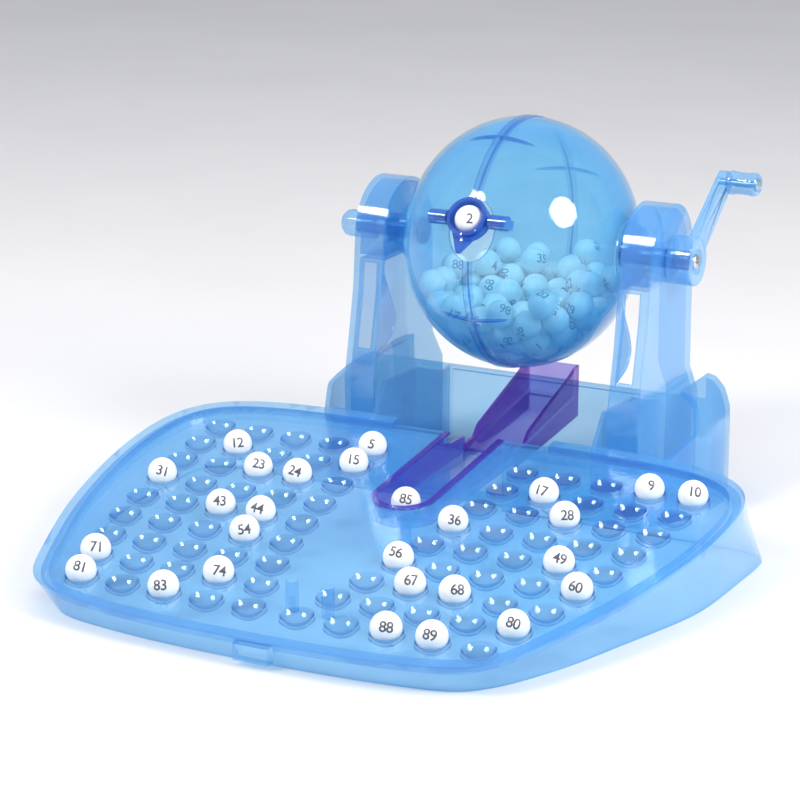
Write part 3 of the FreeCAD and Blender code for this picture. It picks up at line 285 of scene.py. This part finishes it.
for name in ("globe_right_half", "globe_left_half"):
    me = NODES[name].data
    me.materials.append(SEAM)
    me.materials.append(TRIM)
    for f in me.polygons:
        c = f.center - CEN
        x, rho = abs(c.x) / MM, math.hypot(c.y, c.z) / MM
        if x > 42.0:
            continue
        outer = 53.6 * math.sqrt(max(0.0, 1 - (x / 50.0) ** 2))
        inner = 52.1 * math.sqrt(max(0.0, 1 - (x / 48.5) ** 2))
        if rho > outer + 0.12 and (x > 2.3 or rho > outer + 0.55):
            f.material_index = 2
        elif rho > outer + 0.12 or (inner + 0.18 < rho < outer - 0.18):
            f.material_index = 1

cups = [cup_point(n) for n in range(1, 91)]
me = NODES["ball_board"].data
me.materials.append(CUP)
me.materials.append(BOARD_RIM)
for f in me.polygons:
    x, k, h = on_deck(f.center)
    if 0.05 * MM < h < 3.1 * MM and min(on_deck(me.vertices[i].co)[2] for i in f.vertices) > -0.05 * MM:
        f.material_index = 2
    elif h < -0.02 * MM and abs(h + 1.8 * MM) > 0.04 * MM:
        if min((x - q.x) ** 2 + (k - q.y) ** 2 for q in cups) < (7.9 * MM) ** 2:
            f.material_index = 1


# The low chute's upright walls and lip read violet, its floor pale.
me = NODES["lower_chute"].data
me.materials.append(CHUTE_EDGE)
me.materials.append(CHUTE_WALL)
for f in me.polygons:
    x, k, h = on_deck(f.center)
    if h > 0.3 * MM or (f.center.y > 45.0 * MM and f.normal.z > 0.8 and abs(x) > 11.0 * MM):
        f.material_index = 1
    elif abs(x) > 11.0 * MM:
        f.material_index = 2

# The high chute's floor is paler than its walls.
me = NODES["upper_chute"].data
me.materials.append(CHUTE_FLOOR)
for f in me.polygons:
    if abs(f.normal.x) < 0.3 and abs(f.center.x) < 11.3 * MM:
        f.material_index = 1

# ------------------------------------------------------------------ numbered balls
FONT_CACHE = {}


def glyph_mesh(text):
    """Flat outline of a number, centred, 1 unit high, cut finely enough to be wrapped on a ball."""
    if text in FONT_CACHE:
        return FONT_CACHE[text]
    cu = bpy.data.curves.new("glyph", "FONT")
    cu.body = text
    cu.size = 1.0
    cu.align_x = "CENTER"
    cu.align_y = "CENTER"
    cu.resolution_u = 4
    cu.offset = 0.014
    cu.space_character = 0.92
    ob = bpy.data.objects.new("glyph", cu)
    bpy.context.scene.collection.objects.link(ob)
    bpy.context.view_layer.update()
    me = bpy.data.meshes.new_from_object(ob.evaluated_get(bpy.context.evaluated_depsgraph_get()))
    bpy.data.objects.remove(ob)
    bm = bmesh.new()
    bm.from_mesh(me)
    bpy.data.meshes.remove(me)
    bmesh.ops.remove_doubles(bm, verts=bm.verts, dist=1e-5)
    bmesh.ops.triangulate(bm, faces=bm.faces[:])
    for _ in range(4):
        long_edges = [e for e in bm.edges if e.calc_length() > 0.17]
        if not long_edges:
            break
        bmesh.ops.subdivide_edges(bm, edges=long_edges, cuts=1)
        bmesh.ops.triangulate(bm, faces=bm.faces[:])
    xs = [v.co.x for v in bm.verts]
    ys = [v.co.y for v in bm.verts]
    cx, cy = (min(xs) + max(xs)) / 2, (min(ys) + max(ys)) / 2
    h = max(ys) - min(ys)
    verts = [((v.co.x - cx) / h, (v.co.y - cy) / h) for v in bm.verts]
    bm.verts.ensure_lookup_table()
    bm.verts.index_update()
    faces = [[v.index for v in f.verts] for f in bm.faces]
    bm.free()
    FONT_CACHE[text] = (verts, faces)
    return FONT_CACHE[text]


def basis(out, up):
    """Right, up and outward directions of a number on a ball."""
    n = Vector(out).normalized()
    u = Vector(up)
    u = (u - n * u.dot(n)).normalized()
    return u.cross(n), u, n


def add_ball(bm, centre, r, text, out, up, height=0.70, rings=20, segs=36, mat_ball=0, mat_ink=1, both=True):
    """One ball with its number wrapped on it."""
    rt, u, n = basis(out, up)
    rows = []
    for i in range(rings + 1):
        lat = math.pi * i / rings - math.pi / 2
        ring = []
        if i in (0, rings):
            p = centre + n * (r * math.sin(lat))
            ring = [bm.verts.new(p)]
        else:
            for j in range(segs):
                lon = 2 * math.pi * j / segs
                dvec = rt * (math.cos(lat) * math.cos(lon)) + u * (math.cos(lat) * math.sin(lon)) + n * math.sin(lat)
                ring.append(bm.verts.new(centre + dvec * r))
        rows.append(ring)
    for i in range(rings):
        a, b = rows[i], rows[i + 1]
        for j in range(segs):
            k = (j + 1) % segs
            if len(a) == 1:
                f = bm.faces.new((a[0], b[k], b[j]))
            elif len(b) == 1:
                f = bm.faces.new((a[j], a[k], b[0]))
            else:
                f = bm.faces.new((a[j], a[k], b[k], b[j]))
            f.smooth = True
            f.material_index = mat_ball
    sides = [(rt, u, n)]
    if both:
        sides.append((-rt, u, -n))
    gv, gf = glyph_mesh(text)
    hh = height * r
    for ax, ay, az in sides:
        vs = []
        for x, y in gv:
            x, y = x * hh, y * hh
            d = math.hypot(x, y)
            ang = d / r
            if d > 1e-9:
                dv = (ax * x + ay * y) / d
            else:
                dv = ax
            vs.append(bm.verts.new(centre + (az * math.cos(ang) + dv * math.sin(ang)) * (r + 0.012 * MM)))
        for tri in gf:
            try:
                f = bm.faces.new([vs[i] for i in tri])
            except ValueError:
                continue
            f.normal_update()
            if f.normal.dot(az) < 0 and f.normal.dot((f.calc_center_median() - centre)) < 0:
                f.normal_flip()
            f.smooth = True
            f.material_index = mat_ink


def centres_of(node):
    """Centres of the separate solids of a CAD node, from its mesh."""
    me = NODES[node].data
    parent = list(range(len(me.vertices)))

    def find(i):
        while parent[i] != i:
            parent[i] = parent[parent[i]]
            i = parent[i]
        return i

    key = {}
    for v in me.vertices:
        k = (round(v.co.x * 2e5), round(v.co.y * 2e5), round(v.co.z * 2e5))
        if k in key:
            parent[find(v.index)] = find(key[k])
        else:
            key[k] = v.index
    for e in me.edges:
        a, b = find(e.vertices[0]), find(e.vertices[1])
        if a != b:
            parent[a] = b
    groups = {}
    for v in me.vertices:
        groups.setdefault(find(v.index), []).append(v.co)
    out = []
    for g in groups.values():
        lo = Vector((min(c.x for c in g), min(c.y for c in g), min(c.z for c in g)))
        hi = Vector((max(c.x for c in g), max(c.y for c in g), max(c.z for c in g)))
        out.append((lo + hi) / 2)
    return out


def build(name, bm, mats, body, nodes):
    me = bpy.data.meshes.new(name)
    bm.to_mesh(me)
    bm.free()
    for m in mats:
        me.materials.append(m)
    ob = bpy.data.objects.new(name, me)
    bpy.context.scene.collection.objects.link(ob)
    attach(ob, body)
    if nodes:
        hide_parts(*nodes)
    return ob


BALL_R = 6.0 * MM
RB = BALL_R - 0.02 * MM
ON_BOARD = [5, 9, 10, 12, 15, 17, 23, 24, 28, 31, 36, 43, 44, 49, 54, 56, 60, 67, 68, 71, 74, 80, 81, 83, 88, 89]
VIEWER = Vector((0.44, -0.85, 0.33))
bm = bmesh.new()
left = list(ON_BOARD)
for c in centres_of("board_balls"):
    x, k, h = on_deck(c)
    n = min(left, key=lambda q: (Vector((x, k)) - cup_point(q)).length)
    left.remove(n)
    out = (VIEWER + Vector((rng.uniform(-0.22, 0.22), rng.uniform(-0.1, 0.1), 0.16 + rng.uniform(-0.12, 0.2))))
    up = Vector((rng.uniform(-0.25, 0.25), 0.2, 1.0))
    add_ball(bm, c, RB, str(n), out, up)
build("numbered_balls_on_board", bm, [BALL, INK], "stand", ["board_balls"])

bm = bmesh.new()
add_ball(bm, centres_of("chute_ball")[0], RB, "85", VIEWER + Vector((0, 0, 0.2)), Vector((0.1, 0.2, 1)))
build("ball_in_catch_cup", bm, [BALL, INK], "stand", ["chute_ball"])

bm = bmesh.new()
add_ball(bm, centres_of("gate_ball")[0], RB, "2", VIEWER, Vector((0, 0.2, 1)))
build("ball_in_gate", bm, [BALL, INK], "gate", ["gate_ball"])

bm = bmesh.new()
rest_numbers = list(range(1, 91))
rng.shuffle(rest_numbers)
for k, c in enumerate(centres_of("globe_balls")):
    out = Vector((rng.gauss(0, 1), rng.gauss(-0.8, 1), rng.gauss(0, 1)))
    up = Vector((rng.gauss(0, 1), rng.gauss(0, 1), rng.gauss(0.6, 1)))
    add_ball(bm, c, RB, str(rest_numbers[k % len(rest_numbers)]), out, up, rings=14, segs=26)
build("balls_in_globe", bm, [BALL, INK_UNDER_PAINTED_HAZE], "stand", ["globe_balls"])

# ------------------------------------------------------------------ floor, light, camera
sc = bpy.context.scene
ft = Tree("floor_paper")
fn = ft.noise(6.0, 3.0, 0.5)
fg = ft.noise(700.0, 3.0, 0.6)
fcol = ft.ramp(fn, [(0.3, (0.705, 0.695, 0.705)), (0.7, (0.735, 0.725, 0.735))])
fp = ft.t.nodes.new("ShaderNodeBsdfPrincipled")
ft.link(fcol, fp.inputs["Base Color"])
fp.inputs["Roughness"].default_value = 0.75
ft.link(ft.bump(fg, 0.05, 0.0003), fp.inputs["Normal"])
ft.link(fp.outputs[0], ft.out.inputs["Surface"])
me = bpy.data.meshes.new("floor")
S, B, H = 6.0, 2.6, 4.0
prof = [(-S, 0.0)]
for i in range(17):
    a = math.pi / 2 * i / 16
    prof.append((B - 1.0 + 1.0 * math.sin(a), 1.0 - 1.0 * math.cos(a)))
prof.append((B, H))
vs, fs = [], []
for y, z in prof:
    vs += [(-S, y, z), (S, y, z)]
for i in range(len(prof) - 1):
    fs.append((2 * i, 2 * i + 1, 2 * i + 3, 2 * i + 2))
me.from_pydata(vs, [], fs)
for p in me.polygons:
    p.use_smooth = True
me.materials.append(ft.mat)
floor = bpy.data.objects.new("floor", me)
sc.collection.objects.link(floor)
floor.location.z = -0.00005

world = bpy.data.worlds.new("studio")
sc.world = world
world.use_nodes = True
bg = world.node_tree.nodes["Background"]
bg.inputs["Color"].default_value = (0.93, 0.96, 1.0, 1)
bg.inputs["Strength"].default_value = 0.62


def area(name, loc, target, size, power, size_y=None, round_=False):
    li = bpy.data.lights.new(name, "AREA")
    li.energy = power
    if size_y:
        li.shape = "RECTANGLE"
        li.size, li.size_y = size, size_y
    else:
        li.shape = "DISK" if round_ else "SQUARE"
        li.size = size
    ob = bpy.data.objects.new(name, li)
    sc.collection.objects.link(ob)
    ob.location = loc
    ob.rotation_mode = "QUATERNION"
    ob.rotation_quaternion = (Vector(target) - Vector(loc)).to_track_quat("-Z", "Y")
    return ob


area("key_disk", (0.80, -0.08, 0.60), (0.0, 0.02, 0.05), 0.42, 7.0, round_=True)
area("left_disk", (-0.55, -0.80, 1.00), (0.0, -0.03, 0.03), 0.42, 10.0, round_=True)
area("top_panel", (-0.1, 0.15, 1.35), (0.0, 0.0, 0.0), 1.1, 7.0, 0.9).visible_glossy = False

cam_data = bpy.data.cameras.new("camera")
cam = bpy.data.objects.new("camera", cam_data)
sc.collection.objects.link(cam)
az, el = math.radians(27.306), math.radians(16.611)
right = Vector((math.cos(az), math.sin(az), 0.0))
back = Vector((math.sin(az) * math.cos(el), -math.cos(az) * math.cos(el), math.sin(el)))
upv = back.cross(right)
cam.matrix_world = Matrix(((right.x, upv.x, back.x, 0.4660), (right.y, upv.y, back.y, -0.9163), (right.z, upv.z, back.z, 0.3634), (0, 0, 0, 1)))
cam_data.sensor_width = 36.0
cam_data.lens = 120.4
cam_data.shift_x = -0.0062
cam_data.shift_y = 0.0106
cam_data.clip_start = 0.05
cam_data.clip_end = 50.0
sc.camera = cam

sc.cycles.max_bounces = 12
sc.cycles.transparent_max_bounces = 48
sc.view_settings.view_transform = "Standard"
sc.view_settings.look = "None"
